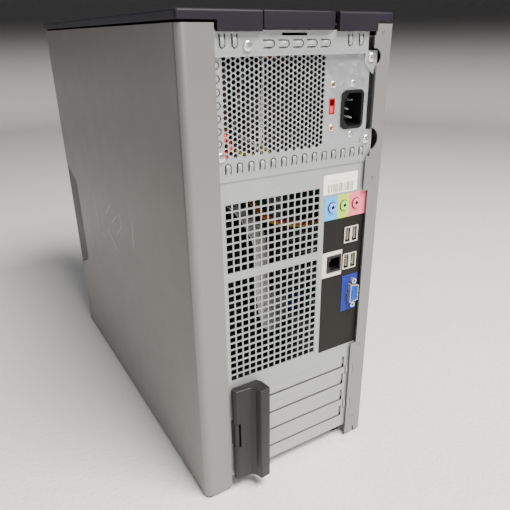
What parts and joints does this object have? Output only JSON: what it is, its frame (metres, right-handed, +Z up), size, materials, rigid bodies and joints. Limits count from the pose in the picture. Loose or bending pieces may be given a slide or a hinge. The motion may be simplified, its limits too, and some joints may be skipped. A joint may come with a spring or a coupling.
{
  "type": "desktop computer tower",
  "caption": "Mini-tower desktop computer with a tilting side cover, latch, card door, power supply, drives, motherboard and fans inside.",
  "frame": {"origin": "middle of the bottom of the whole object, on the surface it stands on", "axes": "+Z up; -Y out of the front bezel, +Y out of the connector side; +X out of the side cover"},
  "size_m": [0.185, 0.4556, 0.414],
  "materials": {
    "steel_back": "satin",
    "shell_paint": "satin",
    "galvanised": "satin",
    "cap_plastic": "fine texture",
    "bezel_plastic": "fine texture",
    "door_plastic": "semi gloss",
    "black_plastic": "satin",
    "connector_plate": "matt",
    "key_colours": "printed, five colours",
    "port_metal": "bright",
    "nylon": "natural",
    "blue_plastic": "satin",
    "red_plastic": "satin",
    "bright_screw": "bright zinc",
    "brass": "plated",
    "rubber_foot": "matt",
    "circuit_board": "solder mask",
    "heatsink": "extruded",
    "label_paper": "paper",
    "ribbon": "ribbed",
    "wire": "several colours",
    "silver_button": "metallic"
  },
  "bodies": {
    "chassis": {"base_pan": "galvanised", "fixed_side": "shell_paint", "top_plate": "galvanised", "rear_panel": "steel_back", "front_panel": "galvanised", "feet": "rubber_foot", "hinge_hooks": "galvanised", "top_cap": "cap_plastic", "latch_spring": "port_metal", "front_bezel": "bezel_plastic", "door_bracket": "door_plastic", "door_pin": "port_metal", "slot_covers": "steel_back", "psu_face": "galvanised", "psu_shell": "galvanised", "psu_screws": "bright_screw", "psu_rivets": "brass", "psu_fan_frame": "black_plastic", "psu_board": "circuit_board", "inlet_housing": "black_plastic", "inlet_pins": "brass", "voltage_switch": "red_plastic", "io_plate": "connector_plate", "port_labels": "key_colours", "audio_jacks": "nylon", "usb_ports": "port_metal", "usb_tongues": "nylon", "network_jack": "nylon", "screen_port": "port_metal", "screen_insert": "blue_plastic", "screen_jackscrews": "bright_screw", "motherboard": "circuit_board", "board_standoffs": "brass", "board_sockets": "nylon", "board_parts": "black_plastic", "memory_modules": "circuit_board", "cpu_heatsink": "heatsink", "cpu_fan_frame": "black_plastic", "drive_cage": "galvanised", "optical_drive": "galvanised", "drive_front": "bezel_plastic", "hard_drive": "heatsink", "bay_blanks": "bezel_plastic", "front_board": "circuit_board", "serial_label": "label_paper", "ribbon_cable": "ribbon", "power_leads": "wire"},
    "cover": {"side_cover": "shell_paint", "cover_pins": "port_metal"},
    "latch": {"cover_latch": "cap_plastic"},
    "door": {"card_door": "door_plastic"},
    "psu_fan": {"psu_fan_rotor": "black_plastic"},
    "cpu_fan": {"cpu_fan_rotor": "black_plastic"},
    "voltage": {"voltage_slider": "red_plastic"},
    "tray": {"disc_tray": "black_plastic"},
    "eject": {"eject_button": "bezel_plastic"},
    "power": {"power_button": "silver_button"},
    "flap": {"port_flap": "bezel_plastic"}
  },
  "joints": [
    {"name": "cover_tilt", "type": "hinge", "parent": "chassis", "child": "cover", "pos_m": [0.0865, 0, 0.0085], "axis": [0, 1, 0], "range_deg": [0, 60]},
    {"name": "latch_slide", "type": "slide", "parent": "chassis", "child": "latch", "axis": [0, 1, 0], "range_m": [0, 0.009], "stiffness_N_per_m": 400, "springref_m": -0.002, "deforming": ["latch_spring"]},
    {"name": "door_swing", "type": "hinge", "parent": "chassis", "child": "door", "pos_m": [0.0608, 0.21425, 0.064], "axis": [0, 0, -1], "range_deg": [0, 90]},
    {"name": "psu_fan_spin", "type": "hinge", "parent": "chassis", "child": "psu_fan", "pos_m": [-0.0058, 0.08, 0.3544], "axis": [0, 1, 0], "continuous": true},
    {"name": "cpu_fan_spin", "type": "hinge", "parent": "chassis", "child": "cpu_fan", "pos_m": [-0.0324, 0.11, 0.19], "axis": [1, 0, 0], "continuous": true},
    {"name": "voltage_slide", "type": "slide", "parent": "chassis", "child": "voltage", "axis": [0, 0, 1], "range_m": [0, 0.0046]},
    {"name": "tray_slide", "type": "slide", "parent": "chassis", "child": "tray", "axis": [0, -1, 0], "range_m": [0, 0.135]},
    {"name": "eject_press", "type": "slide", "parent": "chassis", "child": "eject", "axis": [0, 1, 0], "range_m": [0, 0.0012], "stiffness_N_per_m": 500, "springref_m": -0.0005},
    {"name": "power_press", "type": "slide", "parent": "chassis", "child": "power", "axis": [0, 1, 0], "range_m": [0, 0.0015], "stiffness_N_per_m": 600, "springref_m": -0.0005},
    {"name": "flap_swing", "type": "hinge", "parent": "chassis", "child": "flap", "pos_m": [0, -0.226, 0.0634], "axis": [1, 0, 0], "range_deg": [0, 90]}
  ]
}
